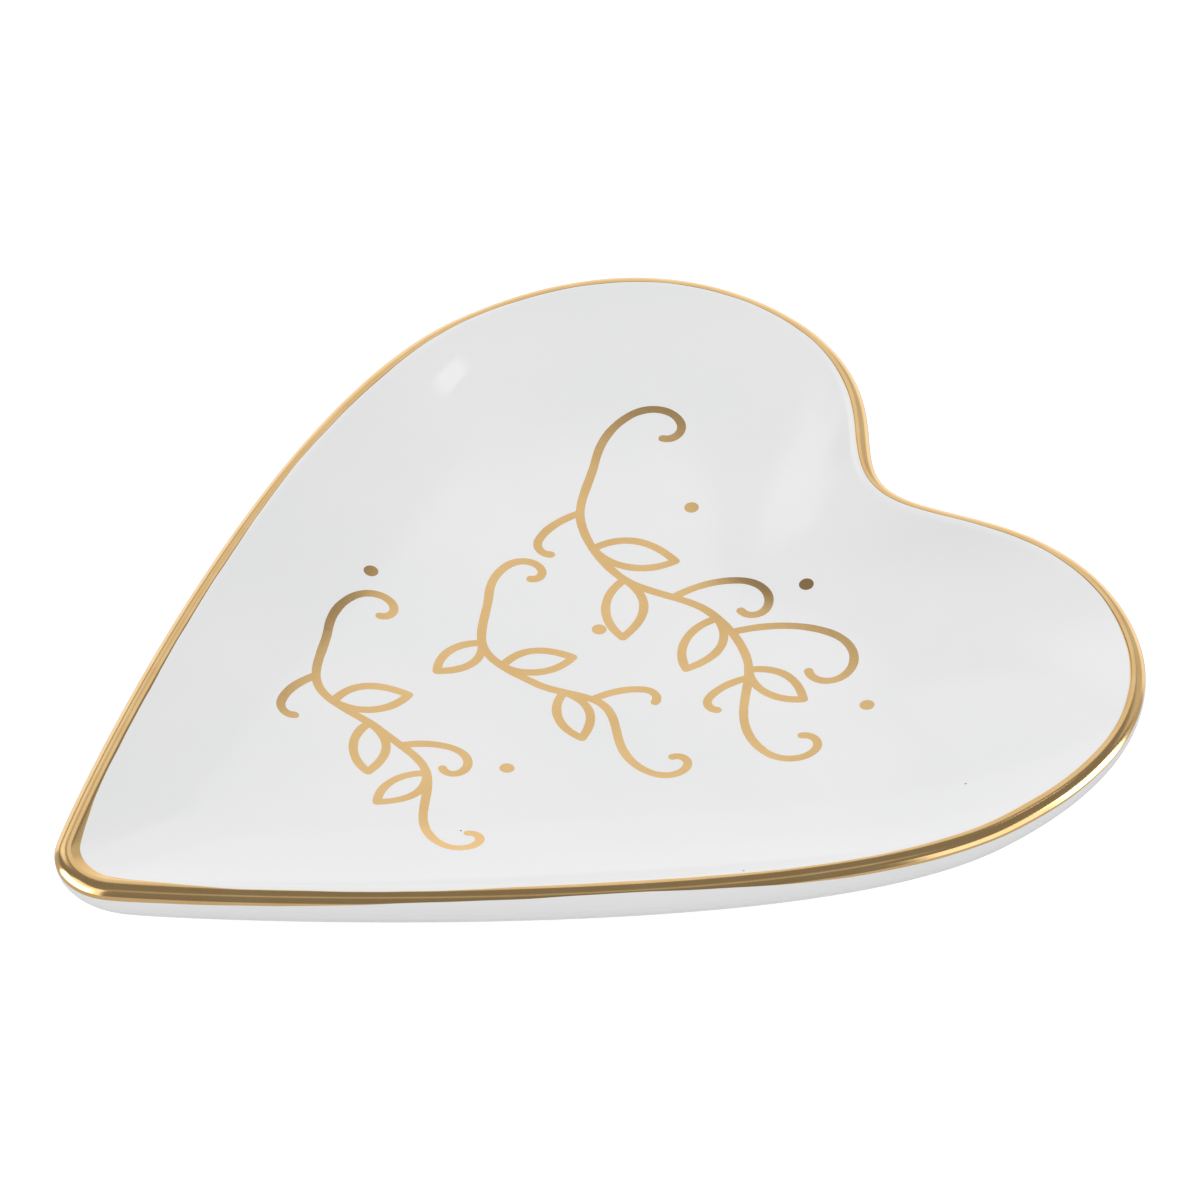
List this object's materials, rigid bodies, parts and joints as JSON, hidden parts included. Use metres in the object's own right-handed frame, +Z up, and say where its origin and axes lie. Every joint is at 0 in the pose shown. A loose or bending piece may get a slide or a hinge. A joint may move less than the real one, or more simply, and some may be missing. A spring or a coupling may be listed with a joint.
{
  "type": "heart-shaped trinket dish",
  "caption": "Shallow heart-shaped porcelain dish with a gold rim and a gold vine drawn on its floor, for rings and small trinkets.",
  "frame": {"origin": "middle of the heart's outline, on the surface that the foot ring stands on", "axes": "+Z up out of the bowl, +Y from the heart's tip to its notch, +X to the right lobe seen from above with the tip nearest"},
  "size_m": [0.1058, 0.12, 0.011],
  "materials": {
    "porcelain": "white porcelain under a clear high-gloss glaze, bare and matt only on the foot ring's bottom",
    "rim_gold": "bright fired gold lustre, hand-painted over the lip, slightly streaky",
    "motif_gold": "bright fired gold lustre line work on the glaze, about 1 mm wide"
  },
  "bodies": {
    "root": {"dish_body": "porcelain", "rim_gold_band": "rim_gold", "upper_vine": "motif_gold", "middle_vine": "motif_gold", "lower_vine": "motif_gold", "gold_dot_1": "motif_gold", "gold_dot_2": "motif_gold", "gold_dot_3": "motif_gold", "gold_dot_4": "motif_gold", "gold_dot_5": "motif_gold", "gold_dot_6": "motif_gold"}
  },
  "joints": []
}
